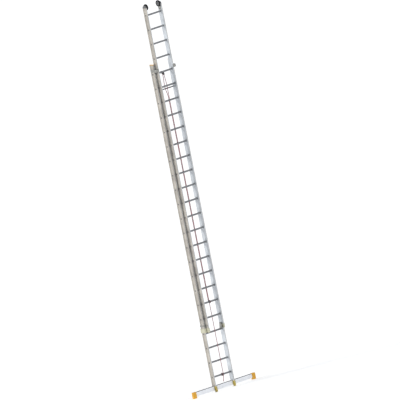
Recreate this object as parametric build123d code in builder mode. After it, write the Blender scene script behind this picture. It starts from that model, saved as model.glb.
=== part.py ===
from build123d import *
import math
import os

# Two-section rope-operated extension ladder, standing upright: +X to the climber's right,
# -Y towards the climber, +Z up along the stiles, z = 0 on the floor under the feet.
# The base section stays on the floor, the fly section slides up in front of it.

# ---- driving dimensions, millimetres ----
RUNG_PITCH = 280
RUNG_COUNT = 22  # in each section
BASE_HALF_WIDTH = 245  # centre line to the outer face of a base stile
FLY_HALF_WIDTH = 201
FLY_RISE = 16  # how far the fly's rungs stand above the base's while the hooks are clear
FLY_LIFT = 4 * RUNG_PITCH + FLY_RISE  # how far the fly is drawn out past the nested position
FLY_Y = -72  # middle of the fly stiles, in front of the base

STILE_WIDTH = 25
STILE_DEPTH = 98
STILE_SKIN = 2.0
STILE_CORNER = 2.0
CHANNEL_DEPTH = 4  # sunk panel along the outer face of a stile
CHANNEL_WIDTH = 46
BASE_TOP_Z = 6345
FLY_BOTTOM_Z = 1170
FLY_TOP_Z = 7440

RUNG_SIZE = 30
RUNG_CORNER = 6
RUNG_SKIN = 2
SPIGOT_RADIUS = 13  # the round end of a rung that passes through the stile
SPIGOT_BORE = 11
COLLAR_RADIUS = 21  # flared bead against the stile's inner face
COLLAR_LENGTH = 12
LIP_RADIUS = 15  # rolled lip on the sunk panel outside
LIP_THICKNESS = 1.2
FIT = 0.1  # clearance between parts that slip together
TREAD_GROOVE = 1.2

BAR_HALF_LENGTH = 772.5
BAR_THICKNESS = 30
BAR_HEIGHT = 85
BAR_BOTTOM_Z = 32
BAR_SKIN = 3
END_CAP_SIZE = (80, 50, 120)
END_CAP_OUTER_X = 792.5
FOOT_WIDTH = 34
FOOT_FRONT_Y = -66
FOOT_HEIGHT = 105
FOOT_SOLE = 12
REAR_LEG_BOTTOM_Z = 60
LEG_GAP = 15.6  # half of the slot that straddles the bar
LEG_BOLT_Z = 84
LEG_BOLT_RADIUS = 5

ROPE_RADIUS = 6
ROPE_Y = -38
HAUL_X = 10
LIFT_X = -7
PULLEY_X = -20
PULLEY_Z = 6128
PULLEY_RADIUS = 23
PULLEY_WIDTH = 16
ROPE_ON_PULLEY = 17  # radius of the rope's centre line round the pulley
LIFT_JOIN_Z = 5640  # where the rope's slack eye ends and the lifting run starts
KNOT_RADIUS = 9.5
LOOP_RADIUS = 25.5  # centre line of the rope's turn round a rung
KNOT_TOP_Z = 26  # collar of the knot above the rung's centre

ROLLER_Z = 7450
ROLLER_RADIUS = 61
ROLLER_X = 157.5
ROLLER_WIDTH = 26
HUB_RADIUS = 40
AXLE_RADIUS = 6
RUNNING_FIT = 0.06

HOOK_PIVOT_Y = -58
HOOK_PIVOT_Z = 1240
HOOK_X = 153
HOOK_WIDTH = 10
HOOK_BOLT_RADIUS = 6
HOOK_SWING = 40  # degrees from hanging clear to reaching over a base rung

SIDES = (("left", -1), ("right", 1))

base_rung_heights = [RUNG_PITCH * (k + 1) for k in range(RUNG_COUNT)]
fly_rung_heights = [z + FLY_LIFT for z in base_rung_heights]
bar_middle_z = BAR_BOTTOM_Z + BAR_HEIGHT / 2
bar_top_z = BAR_BOTTOM_Z + BAR_HEIGHT

os.makedirs("parts", exist_ok=True)


def keep(builder, name):
    """Label a finished piece and write it."""
    builder.part.label = name
    export_step(builder.part, f"parts/{name}.step")


def stile_plane(side, half_width, y, z):
    """Plane across a stile whose local x points away from the ladder's centre."""
    middle_x = side * (half_width - STILE_WIDTH / 2)
    return Plane(origin=(middle_x, y, z), x_dir=(side, 0, 0), z_dir=(0, 0, 1))


def stile_section():
    """Hollow section with a sunk panel on its outer face, drawn in the open sketch."""
    RectangleRounded(STILE_WIDTH, STILE_DEPTH, STILE_CORNER)
    with Locations(((STILE_WIDTH - CHANNEL_DEPTH) / 2, 0)):
        Rectangle(CHANNEL_DEPTH, CHANNEL_WIDTH, mode=Mode.SUBTRACT)
    offset(amount=-STILE_SKIN, kind=Kind.INTERSECTION, mode=Mode.SUBTRACT)


def cross_holes(side, radius, spots):
    """Round holes along X through the stile on one side; spots are (y, z) pairs."""
    length = BASE_HALF_WIDTH + 10
    with Locations(*[Location((side * length / 2, y, z), (0, 90, 0)) for y, z in spots]):
        Cylinder(radius, length, mode=Mode.SUBTRACT)


# ---- base stiles, open at the bottom where they straddle the traverse bar ----
GUIDE_Z = 6206  # lower edge of the brackets near the top of the base
GUIDE_HEIGHT = 50
guide_middle_z = GUIDE_Z + GUIDE_HEIGHT / 2
guide_rivet_spots = [(y, guide_middle_z) for y in (-35, 35)]
BRACE_Z = 5832
BRACE_RADIUS = 10
RIVET_RADIUS = 3

for side_name, side in SIDES:
    with BuildPart() as base_stile:
        with BuildSketch(stile_plane(side, BASE_HALF_WIDTH, 0, FOOT_SOLE)):
            stile_section()
        extrude(amount=BASE_TOP_Z - FOOT_SOLE)
        cross_holes(side, SPIGOT_RADIUS + FIT, [(0, z) for z in base_rung_heights])
        stile_middle_x = side * (BASE_HALF_WIDTH - STILE_WIDTH / 2)
        with Locations((stile_middle_x, 0, (bar_top_z + FOOT_SOLE) / 2)):
            Box(STILE_WIDTH + 2, 2 * LEG_GAP, bar_top_z - FOOT_SOLE + 0.4, mode=Mode.SUBTRACT)
        with Locations((stile_middle_x, STILE_DEPTH / 4, (REAR_LEG_BOTTOM_Z + FOOT_SOLE) / 2)):
            Box(STILE_WIDTH + 2, STILE_DEPTH / 2 + 2, REAR_LEG_BOTTOM_Z - FOOT_SOLE, mode=Mode.SUBTRACT)
        with BuildSketch(Plane.XZ.offset(STILE_DEPTH)):
            with Locations((stile_middle_x, LEG_BOLT_Z)):
                Circle(LEG_BOLT_RADIUS + FIT)
        extrude(amount=-2 * STILE_DEPTH, mode=Mode.SUBTRACT)
        with BuildSketch(Plane.YZ.offset(side * (BASE_HALF_WIDTH - 5))):
            with Locations(*guide_rivet_spots):
                Circle(RIVET_RADIUS + FIT)
        extrude(amount=side * 10, mode=Mode.SUBTRACT)
    keep(base_stile, f"base_stile_{side_name}")


# ---- rungs: ribbed square tubes, swaged round where they go through the stiles ----
def make_rung(half_width):
    """One rung on the X axis, for a section of this half width."""
    inner = half_width - STILE_WIDTH
    panel = half_width - CHANNEL_DEPTH
    tube_half = inner - COLLAR_LENGTH
    with BuildPart() as rung:
        with BuildSketch(Plane.YZ):
            RectangleRounded(RUNG_SIZE, RUNG_SIZE, RUNG_CORNER)
            with GridLocations(5, RUNG_SIZE, 4, 2):
                Rectangle(TREAD_GROOVE, 2 * TREAD_GROOVE, mode=Mode.SUBTRACT)
        extrude(amount=tube_half, both=True)
        for side_name, side in SIDES:
            with Locations(Location((side * (tube_half + COLLAR_LENGTH / 2), 0, 0), (0, 90 * side, 0))):
                Cone(RUNG_SIZE / 2 + 1, COLLAR_RADIUS, COLLAR_LENGTH)
            with Locations(Location((side * (inner + panel) / 2, 0, 0), (0, 90, 0))):
                Cylinder(SPIGOT_RADIUS, panel - inner)
            with Locations(Location((side * (panel + LIP_THICKNESS / 2), 0, 0), (0, 90, 0))):
                Cylinder(LIP_RADIUS, LIP_THICKNESS)
        with BuildSketch(Plane.YZ):
            RectangleRounded(RUNG_SIZE - 2 * RUNG_SKIN - 2, RUNG_SIZE - 2 * RUNG_SKIN - 2, RUNG_CORNER - RUNG_SKIN)
        extrude(amount=tube_half - 2, both=True, mode=Mode.SUBTRACT)
        with Locations(Location((0, 0, 0), (0, 90, 0))):
            Cylinder(SPIGOT_BORE, 2 * half_width + 4, mode=Mode.SUBTRACT)
    return rung.part


def make_rung_plugs(half_width):
    """The pair of plugs that close one rung, on the X axis."""
    lip_face = half_width - CHANNEL_DEPTH + LIP_THICKNESS
    with BuildPart() as plugs:
        for side_name, side in SIDES:
            with Locations(Location((side * (lip_face - 3), 0, 0), (0, 90, 0))):
                Cylinder(SPIGOT_BORE - FIT, 6)
            with Locations(Location((side * (lip_face + 0.7), 0, 0), (0, 90 * side, 0))):
                Cone(SPIGOT_RADIUS, SPIGOT_RADIUS - 1, 1.4)
    return plugs.part


SECTIONS = (
    ("base", BASE_HALF_WIDTH, 0, base_rung_heights),
    ("fly", FLY_HALF_WIDTH, FLY_Y, fly_rung_heights),
)

for section, half_width, y, heights in SECTIONS:
    rung = make_rung(half_width)
    plug_pair = make_rung_plugs(half_width)
    with BuildPart() as rungs:
        with Locations(*[(0, y, z) for z in heights]):
            add(rung)
    keep(rungs, f"{section}_rungs")
    with BuildPart() as rung_plugs:
        with Locations(*[(0, y, z) for z in heights]):
            add(plug_pair)
    keep(rung_plugs, f"{section}_rung_plugs")

# ---- plastic caps in the top ends of the base stiles ----
CAP_THICKNESS = 10
SPIGOT_WIDTH = STILE_WIDTH - CHANNEL_DEPTH - 2 * STILE_SKIN - 2 * FIT
SPIGOT_DEPTH = STILE_DEPTH - 2 * STILE_SKIN - 2 * FIT
SPIGOT_LENGTH = 30


def spigot_x(side, half_width):
    """Middle of the hollow in a stile, beside the sunk panel."""
    return side * (half_width - STILE_WIDTH + STILE_SKIN + FIT + SPIGOT_WIDTH / 2)


for side_name, side in SIDES:
    with BuildPart() as base_top_cap:
        with Locations((side * (BASE_HALF_WIDTH - STILE_WIDTH / 2), 0, BASE_TOP_Z + CAP_THICKNESS / 2)):
            Box(STILE_WIDTH + 3, STILE_DEPTH + 3, CAP_THICKNESS)
        fillet(base_top_cap.edges().filter_by(Axis.Z), 4)
        fillet(base_top_cap.faces().sort_by(Axis.Z)[-1].edges(), 3)
        with Locations((spigot_x(side, BASE_HALF_WIDTH), 0, BASE_TOP_Z - SPIGOT_LENGTH / 2)):
            Box(SPIGOT_WIDTH, SPIGOT_DEPTH, SPIGOT_LENGTH)
    keep(base_top_cap, f"base_top_cap_{side_name}")

# ---- boots on the front legs of the base ----
for side_name, side in SIDES:
    foot_middle_x = side * (BASE_HALF_WIDTH - STILE_WIDTH / 2)
    foot_length = -FOOT_FRONT_Y - LEG_GAP
    with BuildPart() as base_foot:
        with Locations((foot_middle_x, FOOT_FRONT_Y + foot_length / 2, FOOT_HEIGHT / 2)):
            Box(FOOT_WIDTH, foot_length, FOOT_HEIGHT)
        fillet(base_foot.edges().filter_by(Axis.X).group_by(Axis.Z)[0], 14)
        fillet(base_foot.edges().filter_by(Axis.Z).group_by(Axis.Y)[0], 6)
        pocket_length = STILE_DEPTH / 2 - LEG_GAP
        with Locations((foot_middle_x, -LEG_GAP - pocket_length / 2, (FOOT_SOLE + FOOT_HEIGHT) / 2)):
            Box(STILE_WIDTH, pocket_length, FOOT_HEIGHT - FOOT_SOLE, mode=Mode.SUBTRACT)
        with BuildSketch(Plane.XZ.offset(-FOOT_FRONT_Y + 1)):
            with Locations((foot_middle_x, LEG_BOLT_Z)):
                Circle(LEG_BOLT_RADIUS + FIT)
        extrude(amount=-(-FOOT_FRONT_Y + 1), mode=Mode.SUBTRACT)
        with Locations(*[(foot_middle_x, y, 1) for y in (-49, -41, -33)]):
            Box(FOOT_WIDTH + 2, 3, 2, mode=Mode.SUBTRACT)
    keep(base_foot, f"base_foot_{side_name}")

# ---- traverse bar across the bottom, its end caps and bolts ----
bolt_x = BASE_HALF_WIDTH - STILE_WIDTH / 2
with BuildPart() as traverse_bar:
    with BuildSketch(Plane.YZ):
        with Locations((0, bar_middle_z)):
            bar_outline = Rectangle(BAR_THICKNESS, BAR_HEIGHT)
            chamfer(bar_outline.vertices(), 3)
    extrude(amount=BAR_HALF_LENGTH, both=True)
    with BuildSketch(Plane.YZ):
        with Locations((0, bar_middle_z)):
            Rectangle(BAR_THICKNESS - 2 * BAR_SKIN, BAR_HEIGHT - 2 * BAR_SKIN)
    extrude(amount=BAR_HALF_LENGTH + 1, both=True, mode=Mode.SUBTRACT)
    with BuildSketch(Plane.XZ.offset(BAR_THICKNESS)):
        with Locations((-bolt_x, LEG_BOLT_Z), (bolt_x, LEG_BOLT_Z)):
            Circle(LEG_BOLT_RADIUS + FIT)
    extrude(amount=-2 * BAR_THICKNESS, mode=Mode.SUBTRACT)
keep(traverse_bar, "traverse_bar")

for side_name, side in SIDES:
    cap_width, cap_depth, cap_height = END_CAP_SIZE
    with BuildPart() as end_cap:
        with Locations((side * (END_CAP_OUTER_X - cap_width / 2), 0, cap_height / 2)):
            Box(cap_width, cap_depth, cap_height)
        fillet(end_cap.edges().filter_by(Axis.Y).group_by(Axis.Z)[0], 7)
        fillet(end_cap.edges().filter_by(Axis.Z), 5)
        socket_length = BAR_HALF_LENGTH - (END_CAP_OUTER_X - cap_width)
        with Locations((side * (BAR_HALF_LENGTH - socket_length / 2), 0, bar_middle_z)):
            Box(socket_length, BAR_THICKNESS, BAR_HEIGHT, mode=Mode.SUBTRACT)
        with Locations(*[(side * (END_CAP_OUTER_X - cap_width / 2), y, 1) for y in (-14, 0, 14)]):
            Box(cap_width + 2, 4, 2, mode=Mode.SUBTRACT)
    keep(end_cap, f"traverse_end_cap_{side_name}")

HEX_RADIUS = 9.5
NUT_THICKNESS = 7
with BuildPart() as traverse_bolts:
    for side_name, side in SIDES:
        with BuildSketch(Plane.XZ.offset(-FOOT_FRONT_Y)):
            with Locations((side * bolt_x, LEG_BOLT_Z)):
                RegularPolygon(HEX_RADIUS, 6)
        extrude(amount=NUT_THICKNESS)
        with BuildSketch(Plane.XZ.offset(-FOOT_FRONT_Y)):
            with Locations((side * bolt_x, LEG_BOLT_Z)):
                Circle(LEG_BOLT_RADIUS)
        extrude(amount=FOOT_FRONT_Y - STILE_DEPTH / 2 - NUT_THICKNESS - 4)
keep(traverse_bolts, "traverse_bolts")

with BuildPart() as traverse_nuts:
    with BuildSketch(Plane.XZ.offset(-STILE_DEPTH / 2)):
        with Locations((-bolt_x, LEG_BOLT_Z), (bolt_x, LEG_BOLT_Z)):
            RegularPolygon(HEX_RADIUS, 6)
            Circle(LEG_BOLT_RADIUS + FIT, mode=Mode.SUBTRACT)
    extrude(amount=-NUT_THICKNESS)
keep(traverse_nuts, "traverse_nuts")

# ---- guides near the top of the base, which hold the fly against it ----
SHEET = 3
fly_front_y = FLY_Y - STILE_DEPTH / 2
fly_inner_x = FLY_HALF_WIDTH - STILE_WIDTH

for side_name, side in SIDES:
    with BuildPart() as base_guide:
        with BuildSketch(Plane.XY.offset(GUIDE_Z)):
            with BuildLine():
                Polyline(
                    (side * BASE_HALF_WIDTH, 42),
                    (side * BASE_HALF_WIDTH, fly_front_y - 2.5),
                    (side * (fly_inner_x + 4), fly_front_y - 2.5),
                    (side * (fly_inner_x + 4), fly_front_y - 2.5 - SHEET),
                    (side * (BASE_HALF_WIDTH + SHEET), fly_front_y - 2.5 - SHEET),
                    (side * (BASE_HALF_WIDTH + SHEET), 42),
                    close=True,
                )
            make_face()
        extrude(amount=GUIDE_HEIGHT)
        with BuildSketch(Plane.YZ.offset(side * (BASE_HALF_WIDTH - 1))):
            with Locations(*guide_rivet_spots, (FLY_Y - 12, guide_middle_z)):
                Circle(RIVET_RADIUS + FIT)
        extrude(amount=side * (SHEET + 2), mode=Mode.SUBTRACT)
    keep(base_guide, f"base_guide_{side_name}")

    with BuildPart() as base_glide:
        glide_depth = STILE_DEPTH - 28
        glide_width = BASE_HALF_WIDTH - FLY_HALF_WIDTH - 0.6
        with Locations((side * (BASE_HALF_WIDTH - glide_width / 2), fly_front_y + glide_depth / 2, guide_middle_z)):
            Box(glide_width, glide_depth, GUIDE_HEIGHT + 10)
            fillet(base_glide.edges().filter_by(Axis.Y), 4)
        with BuildSketch(Plane.YZ.offset(side * (BASE_HALF_WIDTH - 20))):
            with Locations((FLY_Y - 12, guide_middle_z)):
                Circle(RIVET_RADIUS + FIT)
        extrude(amount=side * 30, mode=Mode.SUBTRACT)
    keep(base_glide, f"base_glide_{side_name}")

with BuildPart() as base_guide_rivets:
    for side_name, side in SIDES:
        for y, z in guide_rivet_spots + [(FLY_Y - 12, guide_middle_z)]:
            head_x = side * (BASE_HALF_WIDTH + SHEET + 1)
            with Locations(Location((head_x, y, z), (0, 90 * side, 0))):
                Cone(5.5, 3.5, 2)
            with Locations(Location((side * (BASE_HALF_WIDTH - 0.5), y, z), (0, 90, 0))):
                Cylinder(RIVET_RADIUS, 7)
keep(base_guide_rivets, "base_guide_rivets")

# ---- round brace between the base stiles, under the last rung but one ----
base_inner_x = BASE_HALF_WIDTH - STILE_WIDTH
with BuildPart() as top_cross_brace:
    with Locations(Location((0, 0, BRACE_Z), (0, 90, 0))):
        Cylinder(BRACE_RADIUS, 2 * base_inner_x - 2 * SHEET)
        Cylinder(BRACE_RADIUS - 2, 2 * base_inner_x - 2 * SHEET, mode=Mode.SUBTRACT)
    for side_name, side in SIDES:
        with Locations((side * (base_inner_x - SHEET / 2), 0, BRACE_Z)):
            Box(SHEET, 54, 34)
keep(top_cross_brace, "top_cross_brace")

with BuildPart() as brace_rivets:
    for side_name, side in SIDES:
        for y in (-19, 19):
            with Locations(Location((side * (base_inner_x - SHEET - 1), y, BRACE_Z), (0, -90 * side, 0))):
                Cone(5, 3, 2)
keep(brace_rivets, "brace_rivets")

# ---- pulley under the base's top rung, with its clamp ----
PIN_RADIUS = 4
CHEEK_WIDTH = 32
top_rung_z = base_rung_heights[-1]
rung_half = RUNG_SIZE / 2
cheek_back_y = ROPE_Y + PULLEY_WIDTH / 2 + 1
cheek_front_y = ROPE_Y - PULLEY_WIDTH / 2 - 1
cheek_bottom_z = PULLEY_Z - 22
clamp_top_z = top_rung_z + rung_half + SHEET
clamp_bottom_z = top_rung_z - rung_half - 14
CLAMP_BOLT_RADIUS = 3
clamp_bolt_z = clamp_bottom_z + 7

with BuildPart() as pulley_bracket:
    with BuildSketch(Plane.YZ.offset(PULLEY_X - CHEEK_WIDTH / 2)):
        for back, front, low in (
            (rung_half + SHEET, rung_half, clamp_bottom_z),
            (-rung_half, -rung_half - SHEET, clamp_bottom_z),
            (cheek_back_y + SHEET, cheek_back_y, cheek_bottom_z),
            (cheek_front_y, cheek_front_y - SHEET, cheek_bottom_z),
        ):
            with Locations(((back + front) / 2, (low + clamp_top_z) / 2)):
                Rectangle(SHEET, clamp_top_z - low)
        span = rung_half + SHEET - (cheek_front_y - SHEET)
        with Locations((rung_half + SHEET - span / 2, clamp_top_z - SHEET / 2)):
            Rectangle(span, SHEET)
    extrude(amount=CHEEK_WIDTH)
    with BuildSketch(Plane.XZ.offset(70)):
        with Locations((PULLEY_X, PULLEY_Z)):
            Circle(PIN_RADIUS + FIT)
    extrude(amount=-52, mode=Mode.SUBTRACT)
    with BuildSketch(Plane.XZ.offset(rung_half + SHEET + 1)):
        with Locations((PULLEY_X, clamp_bolt_z)):
            Circle(CLAMP_BOLT_RADIUS + FIT)
    extrude(amount=-40, mode=Mode.SUBTRACT)
keep(pulley_bracket, "pulley_bracket")

with BuildPart() as pulley_wheel:
    groove_radius = ROPE_RADIUS + 0.9
    with BuildSketch(Plane.XY):
        with Locations(((PIN_RADIUS + RUNNING_FIT + PULLEY_RADIUS) / 2, 0)):
            Rectangle(PULLEY_RADIUS - PIN_RADIUS - RUNNING_FIT, PULLEY_WIDTH)
        with Locations((ROPE_ON_PULLEY, 0)):
            Circle(groove_radius, mode=Mode.SUBTRACT)
        with Locations(((ROPE_ON_PULLEY + PULLEY_RADIUS) / 2, 0)):
            Rectangle(PULLEY_RADIUS - ROPE_ON_PULLEY, 2 * groove_radius, mode=Mode.SUBTRACT)
    revolve(axis=Axis.Y)
pulley_wheel.part.position = Vector(PULLEY_X, ROPE_Y, PULLEY_Z)
keep(pulley_wheel, "pulley_wheel")

with BuildPart() as pulley_pin:
    with BuildSketch(Plane.XZ.offset(-cheek_back_y - SHEET - 3)):
        with Locations((PULLEY_X, PULLEY_Z)):
            Circle(PIN_RADIUS)
    extrude(amount=PULLEY_WIDTH + 2 + 2 * SHEET + 3)
    with BuildSketch(Plane.XZ.offset(-cheek_front_y + SHEET)):
        with Locations((PULLEY_X, PULLEY_Z)):
            Circle(PIN_RADIUS + 2.5)
    extrude(amount=2)
    with BuildSketch(Plane.XZ.offset(rung_half + SHEET)):
        with Locations((PULLEY_X, clamp_bolt_z)):
            RegularPolygon(6, 6)
    extrude(amount=4)
    with BuildSketch(Plane.XZ.offset(rung_half + SHEET)):
        with Locations((PULLEY_X, clamp_bolt_z)):
            Circle(CLAMP_BOLT_RADIUS)
    extrude(amount=-(2 * rung_half + 2 * SHEET))
    with BuildSketch(Plane.XZ.offset(-rung_half - SHEET)):
        with Locations((PULLEY_X, clamp_bolt_z)):
            RegularPolygon(6, 6)
    extrude(amount=-4)
keep(pulley_pin, "pulley_pin_and_clamp_bolt")


# ---- the rope ----
def bend_radii(route):
    """As large a radius at each corner as its two runs leave room for."""
    points = [Vector(*p) for p in route]
    radii = []
    for before, corner, after in zip(points, points[1:], points[2:]):
        run_in = corner - before
        run_out = after - corner
        turn = math.radians(run_in.get_angle(run_out))
        radii.append(0.45 * min(run_in.length, run_out.length) / math.tan(turn / 2))
    return radii


def rope_tube(name, route, radii):
    """A piece of rope along straight runs joined by arcs."""
    with BuildPart() as rope:
        with BuildLine() as path:
            FilletPolyline(*route, radius=radii)
        start = path.wire() @ 0
        with BuildSketch(Plane(origin=start, z_dir=path.wire() % 0)):
            Circle(ROPE_RADIUS)
        sweep(path=path.wire())
    length = path.wire().length
    expected = length * math.pi * ROPE_RADIUS**2
    print(name, "length", round(length), "radii", [round(r) for r in radii])
    print(name, "volume over section x length", round(rope.part.volume / expected, 4))
    keep(rope, name)


def at_rope(x, z):
    """A point in the plane that the rope hangs in."""
    return (x, ROPE_Y, z)


# from the end of the slack eye, up over the pulley, and down to the hitch on the lowest rung
HITCH_TOP_Z = base_rung_heights[0] + KNOT_TOP_Z
pulley_left_x = PULLEY_X - ROPE_ON_PULLEY
pulley_right_x = PULLEY_X + ROPE_ON_PULLEY
pulley_top_z = PULLEY_Z + ROPE_ON_PULLEY
turn_step = ROPE_ON_PULLEY * math.tan(math.radians(22.5))  # half a side of an octagon round the turn
haul_route = [
    at_rope(LIFT_X, LIFT_JOIN_Z),
    at_rope(LIFT_X, LIFT_JOIN_Z + 65),
    at_rope(-44, LIFT_JOIN_Z + 195),
    at_rope(-47, LIFT_JOIN_Z + 285),
    at_rope(pulley_left_x - 1, LIFT_JOIN_Z + 405),
    at_rope(pulley_left_x, PULLEY_Z - 24),
    at_rope(pulley_left_x, PULLEY_Z + turn_step),
    at_rope(PULLEY_X - turn_step, pulley_top_z),
    at_rope(PULLEY_X + turn_step, pulley_top_z),
    at_rope(pulley_right_x, PULLEY_Z + turn_step),
    at_rope(pulley_right_x, PULLEY_Z - 24),
    at_rope(pulley_right_x + 1, LIFT_JOIN_Z + 405),
    at_rope(13, LIFT_JOIN_Z + 270),
    at_rope(HAUL_X, LIFT_JOIN_Z + 140),
    at_rope(HAUL_X, HITCH_TOP_Z),
]
haul_radii = bend_radii(haul_route)
haul_radii[5:9] = [ROPE_ON_PULLEY - 0.1] * 4
rope_tube("rope_haul", haul_route, haul_radii)

knot_rung_z = fly_rung_heights[1]
with BuildPart() as rope_lift:
    with BuildSketch(Plane.XY.offset(knot_rung_z + KNOT_TOP_Z)):
        with Locations((LIFT_X, ROPE_Y)):
            Circle(ROPE_RADIUS)
    extrude(amount=LIFT_JOIN_Z - knot_rung_z - KNOT_TOP_Z)
print("rope_lift length", LIFT_JOIN_Z - knot_rung_z - KNOT_TOP_Z, "straight")
keep(rope_lift, "rope_lift")


def knot_on_rung(x, rung_y, rung_z):
    """A turn of rope round a rung, with the knot's lump where the rope hangs."""
    with Locations(Location((x, rung_y, rung_z), (0, 90, 0))):
        Torus(LOOP_RADIUS, ROPE_RADIUS)
    with Locations((x, ROPE_Y, rung_z + 2)):
        Cylinder(KNOT_RADIUS, 28)
    fillet_height = KNOT_TOP_Z - 16
    with Locations((x, ROPE_Y, rung_z + 16 + fillet_height / 2)):
        Cone(KNOT_RADIUS, ROPE_RADIUS + 0.5, fillet_height)


with BuildPart() as rope_knot:
    knot_on_rung(LIFT_X, FLY_Y, knot_rung_z)
keep(rope_knot, "rope_knot")

with BuildPart() as rope_hitch:
    knot_on_rung(HAUL_X, 0, base_rung_heights[0])
keep(rope_hitch, "rope_hitch")

# the tail hangs plumb when the ladder leans back, so it runs towards the back here
tail_route = [
    (HAUL_X, ROPE_Y, base_rung_heights[0] - 12),
    (HAUL_X + 2, ROPE_Y + 8, base_rung_heights[0] - 52),
    (HAUL_X - 2, ROPE_Y + 21, base_rung_heights[0] - 92),
    (HAUL_X + 1, ROPE_Y + 32, base_rung_heights[0] - 130),
]
rope_tube("rope_tail", tail_route, bend_radii(tail_route))

with BuildPart() as rope_end_knot:
    with Locations(Location(tail_route[-1], (-16, 0, 0))):
        Cylinder(ROPE_RADIUS + 3, 18)
        fillet(rope_end_knot.edges(), 4)
keep(rope_end_knot, "rope_end_knot")

# ---- fly stiles ----
strap_low_z = 1262
STRAP_HEIGHT = 28
strap_middle_z = strap_low_z + STRAP_HEIGHT / 2
strap_rivet_spots = [(FLY_Y - 34, strap_middle_z)]
ROLLER_BOLT_RADIUS = 4
roller_bolt_spots = [(FLY_Y + y, ROLLER_Z - 108) for y in (-14, 14)]

for side_name, side in SIDES:
    with BuildPart() as fly_stile:
        with BuildSketch(stile_plane(side, FLY_HALF_WIDTH, FLY_Y, FLY_BOTTOM_Z)):
            stile_section()
        extrude(amount=FLY_TOP_Z - FLY_BOTTOM_Z)
        cross_holes(side, SPIGOT_RADIUS + FIT, [(FLY_Y, z) for z in fly_rung_heights])
        cross_holes(side, HOOK_BOLT_RADIUS + FIT, [(HOOK_PIVOT_Y, HOOK_PIVOT_Z)])
        cross_holes(side, ROLLER_BOLT_RADIUS + FIT, roller_bolt_spots)
        with BuildSketch(Plane.YZ.offset(side * (FLY_HALF_WIDTH - 5))):
            with Locations(*strap_rivet_spots):
                Circle(RIVET_RADIUS + FIT)
        extrude(amount=side * 10, mode=Mode.SUBTRACT)
    keep(fly_stile, f"fly_stile_{side_name}")

    # rounded plug in the top end
    with BuildPart() as fly_top_cap:
        with BuildSketch(Plane.YZ.offset(side * fly_inner_x)):
            with Locations((FLY_Y, FLY_TOP_Z)):
                Circle(STILE_DEPTH / 2)
            with Locations((FLY_Y, FLY_TOP_Z - STILE_DEPTH / 2)):
                Rectangle(STILE_DEPTH + 2, STILE_DEPTH, mode=Mode.SUBTRACT)
        extrude(amount=side * STILE_WIDTH)
        fillet(fly_top_cap.faces().filter_by(Axis.X).edges().filter_by(GeomType.CIRCLE), 4)
        with Locations((spigot_x(side, FLY_HALF_WIDTH), FLY_Y, FLY_TOP_Z - SPIGOT_LENGTH / 2)):
            Box(SPIGOT_WIDTH, SPIGOT_DEPTH, SPIGOT_LENGTH)
    keep(fly_top_cap, f"fly_top_cap_{side_name}")

    # shoe on the bottom end, which reaches round the base stile
    SHOE_LOW_Z = 1144
    SHOE_HIGH_Z = 1226
    shoe_back_y = STILE_DEPTH / 2 + 11
    base_front_y = -STILE_DEPTH / 2
    with BuildPart() as fly_shoe:
        with BuildSketch(Plane.XY.offset(SHOE_LOW_Z)):
            with BuildLine():
                Polyline(
                    (side * (fly_inner_x - 2), FLY_Y + STILE_DEPTH / 2 + 2),
                    (side * (FLY_HALF_WIDTH + 2.5), FLY_Y + STILE_DEPTH / 2 + 2),
                    (side * (FLY_HALF_WIDTH + 2.5), base_front_y - 2),
                    (side * (BASE_HALF_WIDTH + 3), base_front_y - 2),
                    (side * (BASE_HALF_WIDTH + 3), STILE_DEPTH / 2 + 2),
                    (side * (BASE_HALF_WIDTH - 9), STILE_DEPTH / 2 + 2),
                    (side * (BASE_HALF_WIDTH - 9), shoe_back_y),
                    (side * (BASE_HALF_WIDTH + 11), shoe_back_y),
                    (side * (BASE_HALF_WIDTH + 11), base_front_y - 15),
                    (side * (FLY_HALF_WIDTH + 2.5), base_front_y - 15),
                    (side * (FLY_HALF_WIDTH + 2.5), fly_front_y - 2),
                    (side * (fly_inner_x - 2), fly_front_y - 2),
                    close=True,
                )
            make_face()
        extrude(amount=SHOE_HIGH_Z - SHOE_LOW_Z)
        outer_edges = fly_shoe.edges().filter_by(Axis.Z).group_by(Axis.Y)
        fillet(outer_edges[-1], 5)
        with BuildSketch(stile_plane(side, FLY_HALF_WIDTH, FLY_Y, FLY_BOTTOM_Z)):
            RectangleRounded(STILE_WIDTH, STILE_DEPTH, STILE_CORNER)
        extrude(amount=SHOE_HIGH_Z - FLY_BOTTOM_Z + 1, mode=Mode.SUBTRACT)
    keep(fly_shoe, f"fly_shoe_{side_name}")

    # sheet strap above the shoe, riveted to the fly and reaching round the base stile
    with BuildPart() as fly_strap:
        with BuildSketch(Plane.XY.offset(strap_low_z)):
            with BuildLine():
                Polyline(
                    (side * FLY_HALF_WIDTH, fly_front_y + 4),
                    (side * FLY_HALF_WIDTH, base_front_y - 2),
                    (side * (BASE_HALF_WIDTH + 3), base_front_y - 2),
                    (side * (BASE_HALF_WIDTH + 3), STILE_DEPTH / 2 + 2),
                    (side * (BASE_HALF_WIDTH - 14), STILE_DEPTH / 2 + 2),
                    (side * (BASE_HALF_WIDTH - 14), STILE_DEPTH / 2 + 2 + SHEET),
                    (side * (BASE_HALF_WIDTH + 3 + SHEET), STILE_DEPTH / 2 + 2 + SHEET),
                    (side * (BASE_HALF_WIDTH + 3 + SHEET), base_front_y - 2 - SHEET),
                    (side * (FLY_HALF_WIDTH + SHEET), base_front_y - 2 - SHEET),
                    (side * (FLY_HALF_WIDTH + SHEET), fly_front_y + 4),
                    close=True,
                )
            make_face()
        extrude(amount=STRAP_HEIGHT)
        with BuildSketch(Plane.YZ.offset(side * (FLY_HALF_WIDTH - 1))):
            with Locations(*strap_rivet_spots):
                Circle(RIVET_RADIUS + FIT)
        extrude(amount=side * (SHEET + 2), mode=Mode.SUBTRACT)
    keep(fly_strap, f"fly_strap_{side_name}")

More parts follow.
